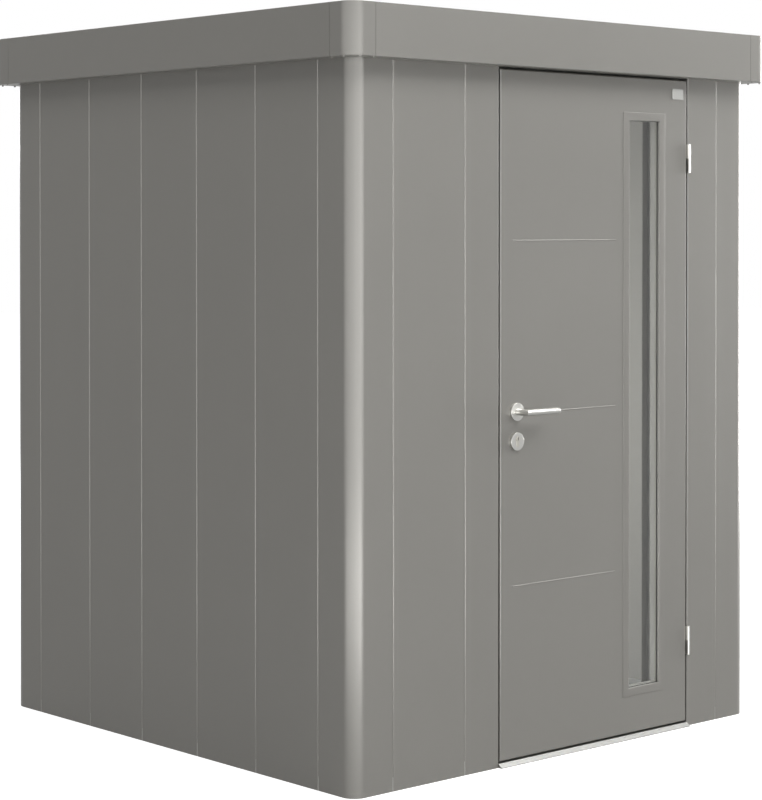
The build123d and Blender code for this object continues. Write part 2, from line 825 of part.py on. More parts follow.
def build_all():
    """Every node of the shed by name."""
    ring = fascia_ring()
    lever_outer, lever_inner = levers()
    nodes = {**foot_rails(), **corner_pieces()}
    nodes["door_threshold"] = door_threshold()
    nodes["front_wall_panel"] = wall_panels("front", panels_per_side - doorway_panels)
    for side in ("left", "right", "back"):
        nodes[f"{side}_wall_panels"] = wall_panels(side, panels_per_side)
    nodes["door_jamb_left"] = door_jamb_left()
    nodes["door_jamb_right"] = door_jamb_right()
    nodes["door_head"] = door_head()
    for side in sides:
        nodes[f"top_rail_{side}"] = top_rail(side)
        nodes[f"fascia_{side}"] = fascia(side, ring)
    nodes["fascia_corners"] = fascia_corners(ring)
    nodes["roof_beams"] = roof_beams()
    nodes["roof_panels"] = roof_panels()
    nodes["roof_gutter"] = roof_gutter()
    nodes["jamb_hinges"] = jamb_hinges()
    nodes["strike_plate"] = strike_plate()
    nodes["door_outer_skin"] = door_outer_skin()
    nodes["door_inner_skin"] = door_inner_skin()
    nodes["window_frame_outer"] = window_frame(-frame_proud, 0, pane_setback)
    nodes["window_frame_inner"] = window_frame(
        door_thickness + frame_proud, door_thickness, pane_setback + pane_thickness
    )
    nodes["window_pane"] = window_pane()
    nodes["badge_plate"] = badge_plate()
    nodes["lever_rosettes"] = lever_rosettes()
    nodes["cylinder_rosettes"] = cylinder_rosettes()
    nodes["lock_cylinder"] = lock_cylinder()
    nodes["lock_case"] = lock_case()
    nodes["lock_faceplate"] = lock_faceplate()
    nodes["door_hinges"] = door_hinges()
    nodes["lever_outer"] = lever_outer
    nodes["lever_inner"] = lever_inner
    nodes["handle_spindle"] = handle_spindle()
    return nodes


os.makedirs("parts", exist_ok=True)
for name, shape in build_all().items():
    solids = shape if isinstance(shape, list) else [shape]
    whole = Compound(children=[solid for piece in solids for solid in piece.solids()])
    export_step(whole, f"parts/{name}.step")
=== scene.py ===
"""Looks of a flat-roofed metal tool shed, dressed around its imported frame.

The frame brings the folded sheet metal, the rails, the roof and the door. This script gives every
node its finish and adds what a maker fits last: seals, gaskets, screws, rivets, and a window trim
and a lever set with rounded edges in place of the plain ones.
"""

from __future__ import annotations

import json
import logging
import math
from collections.abc import Iterable, Sequence
from dataclasses import dataclass
from enum import Enum
from typing import Any

import bmesh
import bpy
from bpy.types import ID, Material, Mesh, Node, NodeSocket, NodeTree, Object
from mathutils import Euler, Matrix, Vector

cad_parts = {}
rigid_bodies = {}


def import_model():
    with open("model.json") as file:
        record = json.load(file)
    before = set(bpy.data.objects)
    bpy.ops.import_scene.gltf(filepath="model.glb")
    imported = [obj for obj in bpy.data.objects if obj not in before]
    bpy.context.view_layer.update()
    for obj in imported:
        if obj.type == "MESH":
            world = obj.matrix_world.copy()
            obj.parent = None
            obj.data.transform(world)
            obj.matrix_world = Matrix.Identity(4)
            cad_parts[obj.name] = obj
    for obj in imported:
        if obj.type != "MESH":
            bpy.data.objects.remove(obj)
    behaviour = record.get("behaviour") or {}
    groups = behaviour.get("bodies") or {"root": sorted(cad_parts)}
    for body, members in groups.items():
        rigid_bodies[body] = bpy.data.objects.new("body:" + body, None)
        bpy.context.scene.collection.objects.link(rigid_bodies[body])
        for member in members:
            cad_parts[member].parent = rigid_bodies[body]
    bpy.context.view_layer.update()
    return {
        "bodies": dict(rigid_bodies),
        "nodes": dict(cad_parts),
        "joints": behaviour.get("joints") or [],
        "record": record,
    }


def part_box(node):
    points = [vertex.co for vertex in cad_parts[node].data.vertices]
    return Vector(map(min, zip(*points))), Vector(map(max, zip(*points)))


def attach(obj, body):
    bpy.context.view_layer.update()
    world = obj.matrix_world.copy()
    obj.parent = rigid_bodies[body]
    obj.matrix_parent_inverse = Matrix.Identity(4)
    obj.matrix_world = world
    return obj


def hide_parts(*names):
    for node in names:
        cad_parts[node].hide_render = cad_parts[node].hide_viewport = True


log = logging.getLogger("tool_shed")

MM = 0.001
UP = Vector((0, 0, 1))
DOWN = Vector((0, 0, -1))
OUT = Vector((0, -1, 0))
IN = Vector((0, 1, 0))
RIGHT = Vector((1, 0, 0))
LEFT = Vector((-1, 0, 0))
WHITE = (1.0, 1.0, 1.0, 1.0)
QUARTER = math.pi / 2
GOLDEN_ANGLE = 2.39996
Pair = tuple[float, float]
Triple = tuple[float, float, float]


class Body(Enum):
    """Bodies of the frame that a piece can ride on."""

    SHED = "shed"
    DOOR = "door"
    HANDLE = "handle"


class Slot(Enum):
    """Finishes. All but the rubber are material slots of the record."""

    PAINT = "paint"
    ROOF = "roof_paint"
    SILL = "sill_aluminium"
    RAIL = "rail_aluminium"
    BADGE = "badge_aluminium"
    ZINC = "galvanised_steel"
    STAINLESS = "stainless"
    NICKEL = "nickel"
    ACRYLIC = "acrylic"
    RUBBER = "seal_rubber"


def linear(code: str) -> tuple[float, float, float, float]:
    """Turn an sRGB hex colour into the linear colour that a shader takes.

    Args:
        code: Six hex digits, such as "8a8884".

    Returns:
        Linear red, green and blue with full opacity.
    """
    channels = [int(code[start : start + 2], 16) / 255 for start in (0, 2, 4)]
    values = [c / 12.92 if c <= 0.04045 else ((c + 0.055) / 1.055) ** 2.4 for c in channels]
    return (*values, 1.0)


def shade(code: str, factor: float) -> tuple[float, float, float, float]:
    """Return a hex colour made lighter or darker by a factor."""
    return (*[channel * factor for channel in linear(code)[:3]], 1.0)


def circle(radius: float, count: int = 64) -> list[Vector]:
    """Give points round a flat circle."""
    turns = [2 * math.pi * index / count for index in range(count)]
    return [Vector((radius * math.cos(turn), radius * math.sin(turn))) for turn in turns]


def arc(centre: Pair, radius: float, start: float, sweep: float = QUARTER,
        steps: int = 6) -> list[Pair]:
    """Give points along an arc, both of its ends among them.

    Args:
        centre: Its centre.
        radius: Its radius.
        start: Angle of the first point, in radians.
        sweep: Angle from the first point to the last.
        steps: Number of chords.

    Returns:
        The points.
    """
    turns = [start + sweep * step / steps for step in range(steps + 1)]
    return [(centre[0] + radius * math.cos(turn), centre[1] + radius * math.sin(turn)) for turn in turns]


def raised(place: Matrix, outline: Iterable[Vector], height: float) -> list[Vector]:
    """Give a flat outline at a height above a place."""
    return [place @ Vector((point.x, point.y, height)) for point in outline]


def linked(name: str, data: ID) -> Object:
    """Make an object of some data and link it to the scene.

    Args:
        name: Name of the object.
        data: Its mesh, lamp or camera.

    Returns:
        The object.
    """
    made = bpy.data.objects.new(name, data)
    bpy.context.scene.collection.objects.link(made)
    return made


def inset_box(node: str, across: float, up: float) -> tuple[Vector, Vector]:
    """Give the box of a node, made smaller along X and Z.

    Args:
        node: Name of the node.
        across: How far each side moves in.
        up: How far the top and the bottom move in.

    Returns:
        Its lowest and highest corner.
    """
    low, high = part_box(node)
    inset = Vector((across, 0, up))
    return low + inset, high - inset


def add(tree: NodeTree, kind: str, links: dict[Any, Any] | None = None, **settings: Any) -> Node:
    """Add one node with its settings and links.

    Args:
        tree: Node tree that the node goes into.
        kind: Node type, such as "ShaderNodeBsdfPrincipled".
        links: Input name or number to a value, an output socket, or a node for its first output.
        settings: Properties of the node itself.

    Returns:
        The new node.
    """
    node = tree.nodes.new(kind)
    for name, value in settings.items():
        setattr(node, name, value)
    for name, value in (links or {}).items():
        source = value.outputs[0] if isinstance(value, Node) else value
        if isinstance(source, NodeSocket):
            tree.links.new(source, node.inputs[name])
        else:
            node.inputs[name].default_value = source
    return node


class Recipe:
    """Grows one finish on the coordinates of the object that wears it."""

    def __init__(self, name: str) -> None:
        """Start an empty material.

        Args:
            name: Name of the finish.
        """
        self.material = bpy.data.materials.new(name)
        self.material.use_nodes = True
        self.tree = self.material.node_tree
        self.tree.nodes.clear()
        self.place = add(self.tree, "ShaderNodeTexCoord").outputs["Object"]

    def noise(self, size: float, detail: float) -> NodeSocket:
        """Add cloudy noise with clouds of a size in metres."""
        return add(self.tree, "ShaderNodeTexNoise", {"Vector": self.place, "Scale": 1 / size,
                                                     "Detail": detail}).outputs["Fac"]

    def stretched(self, stretch: Sequence[float], scale: float, detail: float) -> NodeSocket:
        """Add noise on coordinates that are stretched along the axes."""
        drawn = add(self.tree, "ShaderNodeMapping", {"Vector": self.place, "Scale": stretch})
        return add(self.tree, "ShaderNodeTexNoise", {"Vector": drawn, "Scale": scale,
                                                     "Detail": detail}).outputs["Fac"]

    def mixed(self, share: Any, low: Any, high: Any, **settings: Any) -> NodeSocket:
        """Mix two colours."""
        return add(self.tree, "ShaderNodeMix", {0: share, 6: low, 7: high}, data_type="RGBA", **settings).outputs[2]

    def varied(self, share: Any, colour: str, spread: float) -> NodeSocket:
        """Make a hex colour darker and lighter by up to a spread."""
        return self.mixed(share, shade(colour, 1 - spread), shade(colour, 1 + spread))

    def ranged(self, value: NodeSocket, low: float, high: float, given: Pair = (0.0, 1.0)) -> NodeSocket:
        """Map a given range of a value to the range from low to high."""
        return add(self.tree, "ShaderNodeMapRange", {"Value": value, "From Min": given[0], "From Max": given[1],
                                                     "To Min": low, "To Max": high}).outputs["Result"]

    def bump(self, height: NodeSocket, distance: float, strength: float = 1.0,
             over: dict[str, NodeSocket] | None = None) -> NodeSocket:
        """Raise a height by a distance in metres, over another bump's normal if one is given."""
        return add(self.tree, "ShaderNodeBump", {"Height": height, "Strength": strength, "Distance": distance,
                                                 **(over or {})}).outputs["Normal"]

    def surface(self, colour: Any, roughness: Any, normal: NodeSocket, more: dict[str, Any]) -> Node:
        """Give a principled surface."""
        return add(self.tree, "ShaderNodeBsdfPrincipled", {"Base Color": colour, "Roughness": roughness,
                                                           "Normal": normal, **more})

    def closed(self, surface: Node) -> Material:
        """Give the material with this surface."""
        add(self.tree, "ShaderNodeOutputMaterial", {"Surface": surface})
        return self.material


@dataclass(frozen=True)
class CoatedSteel:
    """Coil-coated steel sheet: satin polyester with fine metal flake, rolled on before folding.

    The flake gives the warm grey a soft sheen that changes round a bend, the roller leaves a faint
    orange peel, and the coat is a touch lighter or darker over a hand's breadth.
    """

    name: str = "coil_coated_steel"
    colour: str = "8f8d88"
    metallic: float = 0.2
    roughness: float = 0.32
    rough_spread: float = 0.06
    peel: float = 1.6 * MM
    peel_depth: float = 0.003 * MM
    flake: float = 0.5 * MM
    glint: float = 0.035
    cloud: float = 340 * MM
    cloud_depth: float = 0.012
    streaks: float = 0.0
    streak_stretch: Triple = (9.0, 0.7, 1.0)
    streak_range: Pair = (0.5, 0.75)
    dust: str = "9d9a92"

    def material(self) -> Material:
        """Build the coat; streaks, from 0 to 1, is how much rain has marked it along Y."""
        mix = Recipe(self.name)
        cloud = mix.noise(self.cloud, 3.0)
        tint = mix.varied(cloud, self.colour, self.cloud_depth)
        flake = add(mix.tree, "ShaderNodeTexVoronoi", {"Vector": mix.place, "Scale": 1 / self.flake})
        colour = mix.mixed(self.glint, tint, flake.outputs["Color"], blend_type="SOFT_LIGHT")
        if self.streaks:
            rain = mix.stretched(self.streak_stretch, 4.0, 4.0)
            share = mix.ranged(rain, 0.0, self.streaks, self.streak_range)
            colour = mix.mixed(share, colour, linear(self.dust))
        rough = mix.ranged(cloud, self.roughness * (1 - self.rough_spread), self.roughness * (1 + self.rough_spread))
        normal = mix.bump(mix.noise(self.peel, 2.0), self.peel_depth)
        return mix.closed(mix.surface(colour, rough, normal, {"Metallic": self.metallic}))


@dataclass(frozen=True)
class BrushedMetal:
    """Bare metal with a grain: brushed, drawn or extruded, so fine lines run along one axis.

    The lines break a reflection up across them and leave it long and soft along them.
    """

    name: str
    colour: str
    roughness: float
    lines: Triple = (20 * MM, 0.35 * MM, 0.35 * MM)
    depth: float = 0.002 * MM
    tint: float = 0.03
    rough_spread: float = 0.15
    grain_range: Pair = (0.3, 0.7)
    groove: float = 0.0
    groove_depth: float = 0.1 * MM

    def material(self) -> Material:
        """Build the metal; groove, in metres, is the pitch of the ribs that an extrusion has across Y."""
        mix = Recipe(self.name)
        grain = mix.stretched([1 / size for size in self.lines], 1.0, 3.0)
        tint = mix.varied(grain, self.colour, self.tint)
        rough = mix.ranged(grain, self.roughness * (1 - self.rough_spread), self.roughness * (1 + self.rough_spread),
                           self.grain_range)
        normal = mix.bump(grain, self.depth)
        if self.groove:
            scale = 2 * math.pi / self.groove / 20
            ribs = add(mix.tree, "ShaderNodeTexWave", {"Vector": mix.place, "Scale": scale}, bands_direction="Y")
            normal = mix.bump(ribs.outputs["Fac"], self.groove_depth, over={"Normal": normal})
        return mix.closed(mix.surface(tint, rough, normal, {"Metallic": 1.0}))


@dataclass(frozen=True)
class GalvanisedSteel:
    """Hot-dip galvanised steel sheet: the zinc froze into crystals a fingertip wide.

    Each crystal is a slightly different grey and shines at its own angle, which makes a dull mosaic.
    """

    name: str = "hot_dip_galvanised_steel"
    colour: str = "a9abad"
    roughness: float = 0.46
    rough_spread: float = 0.2
    crystal: float = 9 * MM
    wander: float = 0.008
    spread: float = 0.10
    depth: float = 0.02 * MM

    def material(self) -> Material:
        """Build the zinc coat."""
        mix = Recipe(self.name)
        wander = add(mix.tree, "ShaderNodeTexNoise", {"Vector": mix.place, "Scale": 0.7 / self.crystal, "Detail": 2.0})
        bent = add(mix.tree, "ShaderNodeMix", {0: self.wander, 4: mix.place, 5: wander.outputs["Color"]},
                   data_type="VECTOR")
        cells = add(mix.tree, "ShaderNodeTexVoronoi", {"Vector": bent.outputs[1], "Scale": 1 / self.crystal})
        value = add(mix.tree, "ShaderNodeSeparateColor", {0: cells.outputs["Color"]}).outputs
        tint = mix.varied(value[0], self.colour, self.spread)
        rough = mix.ranged(value[1], self.roughness * (1 - self.rough_spread), self.roughness * (1 + self.rough_spread))
        return mix.closed(mix.surface(tint, rough, mix.bump(value[2], self.depth, 0.4), {"Metallic": 1.0}))


@dataclass(frozen=True)
class CastAcrylic:
    """Cast acrylic sheet: clear and polished, with the faint wave of a cast sheet in its reflections."""

    name: str = "cast_acrylic"
    colour: str = "f7f9f8"
    roughness: float = 0.02
    refraction: float = 1.49
    wave: float = 160 * MM
    wave_depth: float = 0.3 * MM

    def material(self) -> Material:
        """Build the clear sheet. Lamp light passes it without a shadow, so the room is lit through it."""
        mix = Recipe(self.name)
        normal = mix.bump(mix.noise(self.wave, 0.0), self.wave_depth, 0.3)
        sheet = mix.surface(linear(self.colour), self.roughness, normal,
                            {"IOR": self.refraction, "Transmission Weight": 1.0})
        clear = add(mix.tree, "ShaderNodeBsdfTransparent", {"Color": linear(self.colour)})
        rays = add(mix.tree, "ShaderNodeLightPath").outputs
        chosen = add(mix.tree, "ShaderNodeMixShader", {0: rays["Is Shadow Ray"], 1: sheet, 2: clear})
        return mix.closed(chosen)


@dataclass(frozen=True)
class SealRubber:
    """Extruded EPDM rubber: near black and dull, with a bloom of fine grey powder."""

    name: str = "epdm_rubber"
    colour: str = "1d1d1c"
    roughness: float = 0.62
    grain: float = 0.8 * MM
    grain_depth: float = 0.02 * MM
    bloom: Pair = (0.8, 1.3)

    def material(self) -> Material:
        """Build the rubber."""
        mix = Recipe(self.name)
        bloom = mix.noise(self.grain, 4.0)
        tint = mix.mixed(bloom, *[shade(self.colour, factor) for factor in self.bloom])
        return mix.closed(mix.surface(tint, self.roughness, mix.bump(bloom, self.grain_depth), {}))


class Workshop:
    """Holds the finishes and puts finished pieces on their bodies."""

    def __init__(self, frame: dict[str, Any]) -> None:
        """Keep the frame and mix every finish.
        """
        self.frame = frame
        self.known = {row["slot"] for row in frame["record"]["materials"]}
        along_x = (20 * MM, 0.35 * MM, 0.35 * MM)
        even = (0.5 * MM, 0.5 * MM, 0.5 * MM)
        self.finishes = {
            Slot.PAINT: CoatedSteel().material(),
            Slot.ROOF: CoatedSteel("coil_coated_roof_steel", streaks=0.35).material(),
            Slot.SILL: BrushedMetal("anodised_sill_extrusion", "a1a19e", 0.36, along_x, groove=3.6 * MM).material(),
            Slot.RAIL: BrushedMetal("mill_finish_aluminium", "cacac7", 0.42, along_x).material(),
            Slot.BADGE: BrushedMetal("brushed_anodised_aluminium", "9b9b98", 0.45, along_x).material(),
            Slot.ZINC: GalvanisedSteel().material(),
            Slot.STAINLESS: BrushedMetal("satin_stainless_steel", "c8c7c3", 0.32, even).material(),
            Slot.NICKEL: BrushedMetal("satin_nickel_plate", "c8c5bd", 0.32, even).material(),
            Slot.ACRYLIC: CastAcrylic().material(),
            Slot.RUBBER: SealRubber().material(),
        }

    def dress(self) -> None:
        """Give every frame node the finish of its slot."""
        for row in self.frame["record"]["subparts"]:
            mesh = self.frame["nodes"][row["node"]].data
            finish = self.finishes[Slot(row["material_slot"])]
            mesh.materials.clear()
            mesh.materials.append(finish)
            log.info("%s is %s", row["node"], finish.name)

    def place(self, name: str, mesh: Mesh, body: Body, slot: Slot, stands_for: Sequence[str] = (),
              sharp: float = 35.0) -> Object:
        """Make a piece of a mesh and let it ride on its body.

        Args:
            name: Name of the piece.
            mesh: Its mesh, in the frame's own metres.
            body: Body that carries it.
            slot: Its finish.
            stands_for: Frame nodes that it takes the place of.
            sharp: Degrees between two faces from which their edge stays sharp.

        Returns:
            The piece.
        """
        mesh.materials.clear()
        mesh.materials.append(self.finishes[slot])
        mesh.shade_smooth()
        mesh.set_sharp_from_angle(angle=math.radians(sharp))
        piece = linked(name, mesh)
        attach(piece, body.value)
        if stands_for:
            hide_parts(*stands_for)
        log.info("%s rides on %s in %s", name, body.value, self.finishes[slot].name)
        return piece


class Sculptor:
    """Collects closed shapes in one mesh."""

    def __init__(self) -> None:
        """Start with nothing."""
        self.work = bmesh.new()

    def skin(self, rings: Sequence[Sequence[Vector]], closed: bool = False) -> list[list[bmesh.types.BMVert]]:
        """Join rings of points by faces; a ring of one point is a pole.

        Args:
            rings: Rings in order, each with the same number of points or with one.
            closed: Whether the last ring is joined to the first.

        Returns:
            The vertices, ring by ring.
        """
        made = [[self.work.verts.new(point) for point in ring] for ring in rings]
        pairs = list(zip(made, made[1:] + made[:1])) if closed else list(zip(made, made[1:]))
        for low, high in pairs:
            for index in range(max(len(low), len(high))):
                after = index + 1
                corners = (low[index % len(low)], low[after % len(low)], high[after % len(high)],
                           high[index % len(high)])
                if len(set(corners)) > 2:
                    self.work.faces.new(list(dict.fromkeys(corners)))
        return made

    def cap(self, ring: Sequence[bmesh.types.BMVert]) -> None:
        """Close a ring with one flat face."""
        self.work.faces.new(ring)

    def framed(self, low: Vector, high: Vector, section: Sequence[Pair],
               end_share: float = 1.0) -> None:
        """Run a section round an upright rectangle with mitred corners.

        Args:
            low: Lowest corner of the rectangle, which stands at this point's Y.
            high: Highest corner of the rectangle.
            section: Distance outwards from the rectangle and distance along Y of each point.
            end_share: Share of the outward distance that the section has at the top and bottom.
        """
        corners = [(low.x, low.z, -1, -1), (high.x, low.z, 1, -1), (high.x, high.z, 1, 1), (low.x, high.z, -1, 1)]
        rings = []
        for x, z, side_x, side_z in corners:
            rings.append([Vector((x + side_x * out, low.y + along, z + side_z * out * end_share))
                          for out, along in section])
        self.skin(rings, closed=True)

    def finished(self, name: str, merge: float = 0.001 * MM) -> Mesh:
        """Merge what coincides, point the faces outwards and give the mesh.

        Args:
            name: Name of the mesh.
            merge: Distance under which two points are one.

        Returns:
            The mesh.
        """
        bmesh.ops.remove_doubles(self.work, verts=self.work.verts, dist=merge)
        bmesh.ops.recalc_face_normals(self.work, faces=self.work.faces)
        mesh = bpy.data.meshes.new(name)
        self.work.to_mesh(mesh)
        self.work.free()
        return mesh


@dataclass(frozen=True)
class HeadForm:
    """What a fastener shows above its seat, in a unit circle and one unit high.

    Each ring is a radius and a height. Rings from the recess on are six-sided, as a key's socket is.
    """

    sides: int
    rings: tuple[Pair, ...]
    recess: int = 99

    def mesh(self, name: str) -> Mesh:
        """Build the head.

        Args:
            name: Name of the mesh.

        Returns:
            The mesh, standing on the origin.
        """
        rows = []
        for number, (radius, height) in enumerate(self.rings):
            row = []
            for index in range(self.sides if radius else 1):
                turn = 2 * math.pi * index / self.sides
                reach = radius
                if number >= self.recess:
                    reach /= math.cos((turn + math.pi / 6) % (math.pi / 3) - math.pi / 6)
                row.append(Vector((reach * math.cos(turn), reach * math.sin(turn), height)))
            rows.append(row)
        shape = Sculptor()
        shape.skin(rows)
        return shape.finished(name)


@dataclass(frozen=True)
class TabForm:
    """Small folded tab that hangs from its seat, one unit wide, thick and high, with rounded lower corners."""

    outline: tuple[Pair, ...] = (
        (-0.5, 0.0), (-0.5, -0.72), (-0.42, -0.91), (-0.26, -1.0), (0.26, -1.0), (0.42, -0.91), (0.5, -0.72), (0.5, 0.0)
    )
    layers: tuple[Pair, ...] = ((-0.5, 0.9), (-0.36, 1.0), (0.36, 1.0), (0.5, 0.9))

    def mesh(self, name: str) -> Mesh:
        """Build the tab.

        Args:
            name: Name of the mesh.

        Returns:
            The mesh, hanging from the origin.
        """
        shape = Sculptor()
        rings = shape.skin([[Vector((x * size, y, z * size)) for x, z in self.outline] for y, size in self.layers])
        shape.cap(rings[0])
        shape.cap(rings[-1])
        return shape.finished(name)


class Head(Enum):
    """Heads that show on the shed."""

    HEX = HeadForm(6, ((0.0, 0.0), (1.0, 0.0), (1.0, 0.8), (0.87, 1.0), (0.0, 1.0)))
    WASHER = HeadForm(24, ((0.0, 0.0), (1.0, 0.0), (1.0, 0.45), (0.93, 0.75), (0.6, 1.0), (0.0, 1.0)))
    SOCKET = HeadForm(24, ((0.0, 0.0), (1.0, 0.0), (1.0, 0.5), (0.93, 1.0), (0.5, 1.0), (0.47, 0.15), (0.0, 0.15)), 4)
    RIVET = HeadForm(
        20, ((0.0, 0.0), (1.0, 0.0), (0.97, 0.35), (0.8, 0.75), (0.5, 0.96), (0.28, 1.0), (0.25, 0.6), (0.0, 0.6))
    )
    CAP = HeadForm(24, ((0.0, 0.0), (1.0, 0.0), (0.97, 0.4), (0.82, 0.76), (0.5, 0.95), (0.0, 1.0)))
    TAB = TabForm()


@dataclass(frozen=True)
class Seat:
    """Where a head sits: its place, the way that it points and its turn about that way."""

    place: Vector
    way: Vector
    turn: float = 0.0


class Fitter:
    """Sets like heads on seats with one Geometry Nodes tree."""

    def __init__(self, shop: Workshop) -> None:
        """Grow the tree.

        Args:
            shop: Workshop that finishes what is fitted.
        """
        self.shop = shop
        self.tree = bpy.data.node_groups.new("heads_on_seats", "GeometryNodeTree")
        kinds = {"Seats": "Geometry", "Head": "Object", "Size": "Vector", "Finish": "Material"}
        self.sockets = {
            name: self.tree.interface.new_socket(name, in_out="INPUT", socket_type=f"NodeSocket{kind}").identifier
            for name, kind in kinds.items()
        }
        self.tree.interface.new_socket("Heads", in_out="OUTPUT", socket_type="NodeSocketGeometry")
        self.grow()

    def grow(self) -> None:
        """Add the nodes: each seat gets the head, turned to the seat's way and drawn out to its size."""
        tree = self.tree
        given = add(tree, "NodeGroupInput").outputs
        head = add(tree, "GeometryNodeObjectInfo", {"Object": given["Head"]})
        way = add(tree, "GeometryNodeInputNamedAttribute", {"Name": "way"}, data_type="FLOAT_VECTOR")
        turn = add(tree, "GeometryNodeInputNamedAttribute", {"Name": "turn"}, data_type="FLOAT")
        aimed = add(tree, "FunctionNodeAlignRotationToVector", {"Vector": way}, axis="Z")
        spin = add(tree, "FunctionNodeAxisAngleToRotation", {"Axis": (0, 0, 1), "Angle": turn})
        turned = add(tree, "FunctionNodeRotateRotation", {"Rotation": aimed, "Rotate By": spin}, rotation_space="LOCAL")
        set_down = add(tree, "GeometryNodeInstanceOnPoints", {"Points": given["Seats"],
                                                             "Instance": head.outputs["Geometry"],
                                                             "Rotation": turned,
                                                             "Scale": given["Size"]})
        real = add(tree, "GeometryNodeRealizeInstances", {"Geometry": set_down})
        dressed = add(tree, "GeometryNodeSetMaterial", {"Geometry": real, "Material": given["Finish"]})
        add(tree, "NodeGroupOutput", {"Heads": dressed})

    def fit(self, name: str, head: Head, seats: Iterable[Seat], size: Sequence[float], body: Body, slot: Slot
            ) -> Object:
        """Set one head on each seat.

        Args:
            name: Name of the piece that all of them make.
            head: Which head.
            seats: Where they sit.
            size: Radius and height, or width, thickness and height, in metres.
            body: Body that carries them.
            slot: Their finish.

        Returns:
            The piece.
        """
        chosen = list(seats)
        mesh = bpy.data.meshes.new(f"{name}_seats")
        mesh.from_pydata([seat.place for seat in chosen], [], [])
        mesh.attributes.new("way", "FLOAT_VECTOR", "POINT")
        mesh.attributes.new("turn", "FLOAT", "POINT")
        ways, turns = mesh.attributes["way"], mesh.attributes["turn"]
        for index, seat in enumerate(chosen):
            ways.data[index].vector = seat.way
            turns.data[index].value = seat.turn
        places = linked(f"{name}_seats", mesh)
        pattern = linked(f"{name}_pattern", head.value.mesh(f"{name}_pattern"))
        modifier = places.modifiers.new("heads", "NODES")
        modifier.node_group = self.tree
        modifier[self.sockets["Head"]] = pattern
        modifier[self.sockets["Size"]] = (size[0], *size[-2:])
        modifier[self.sockets["Finish"]] = self.shop.finishes[slot]
        made = bpy.data.meshes.new_from_object(places.evaluated_get(bpy.context.evaluated_depsgraph_get()))
        made.name = name
        places.modifiers.remove(modifier)
        bpy.data.objects.remove(places)
        bpy.data.objects.remove(pattern)
        return self.shop.place(name, made, body, slot, sharp=28.0)


def spun(places: Iterable[tuple[Vector, Vector]]) -> list[Seat]:
    """Give seats a turn each, as screws have when they are driven by hand.

    Args:
        places: Place and way of each.

    Returns:
        The seats, each turned by the golden angle more than the last.
    """
    return [Seat(place, way, index * GOLDEN_ANGLE) for index, (place, way) in enumerate(places)]


@dataclass
class RoofFixings:
    """Screws that hold the deck to its beams, and folded tabs under the fascia's corner pieces."""

    slope: float = 0.015
    sheet: float = 1.5 * MM
    trays: int = 6
    beams: int = 4
    half_beam: float = 20 * MM
    from_rib: float = 75 * MM
    screw: Pair = (5.6 * MM, 5.0 * MM)
    washer: Pair = (8.5 * MM, 2.4 * MM)
    corner_radius: float = 45 * MM
    corner_leg: float = 44.4 * MM
    tabs: int = 4
    tab_size: Triple = (6.5 * MM, 2.0 * MM, 3.6 * MM)
    tab_from_seam: float = 7.5 * MM
    tab_inset: float = 1.6 * MM

    def fit(self, fitter: Fitter) -> None:
        """Fit all of them.

        Args:
            fitter: Who sets them.
        """
        way = Vector((0, self.slope, 1)).normalized()
        seats = list(self.deck_seats(way))
        fitter.fit("deck_screw_washers", Head.WASHER, spun((seat, way) for seat in seats), self.washer,
                   Body.SHED, Slot.RUBBER)
        lift = way * self.washer[1]
        fitter.fit("deck_screws", Head.HEX, spun((seat + lift, way) for seat in seats), self.screw, Body.SHED,
                   Slot.ZINC)
        fitter.fit("fascia_corner_tabs", Head.TAB, self.tab_seats(), self.tab_size, Body.SHED, Slot.PAINT)

    def deck_seats(self, way: Vector) -> Iterable[Vector]:
        """Give the places of the screws, two on each tray over each beam.

        Args:
            way: Upright of the sloping deck; not used.

        Returns:
            Points on the deck's upper face.
        """
        deck_low, deck_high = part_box("roof_panels")
        beam_low, beam_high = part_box("roof_beams")
        pitch = (beam_high.x - beam_low.x) / self.trays
        first, last = beam_low.y + self.half_beam, beam_high.y - self.half_beam
        for beam in range(self.beams):
            y = first + (last - first) * beam / (self.beams - 1)
            z = deck_low.z + self.slope * (deck_high.y - y) + self.sheet
            for tray in range(self.trays):
                middle = beam_low.x + (tray + 0.5) * pitch
                for side in (-1, 1):
                    yield Vector((middle + side * self.from_rib, y, z))

    def tab_seats(self) -> Iterable[Seat]:
        """Give the places of the tabs, four along the face of each corner, the same from both seams."""
        low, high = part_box("fascia_corners")
        bend = self.corner_radius * QUARTER
        spread = (2 * self.corner_leg + bend - 2 * self.tab_from_seam) / (self.tabs - 1)
        centres = ((low.x, low.y, math.pi), (high.x, low.y, 3 * QUARTER), (high.x, high.y, 0.0),
                   (low.x, high.y, QUARTER))
        for x, y, start in centres:
            centre = Vector((x + math.copysign(self.corner_radius, -x), y + math.copysign(self.corner_radius, -y), 0))
            for step in range(self.tabs):
                run = self.tab_from_seam + step * spread
                angle = start + min(max(run - self.corner_leg, 0.0), bend) / self.corner_radius
                past = min(run - self.corner_leg, 0.0) + max(run - self.corner_leg - bend, 0.0)
                outward = Vector((math.cos(angle), math.sin(angle), 0))
                along = Vector((-outward.y, outward.x, 0))
                place = centre + outward * (self.corner_radius - self.tab_inset) + along * past
                yield Seat(Vector((place.x, place.y, low.z)), UP, angle + QUARTER)


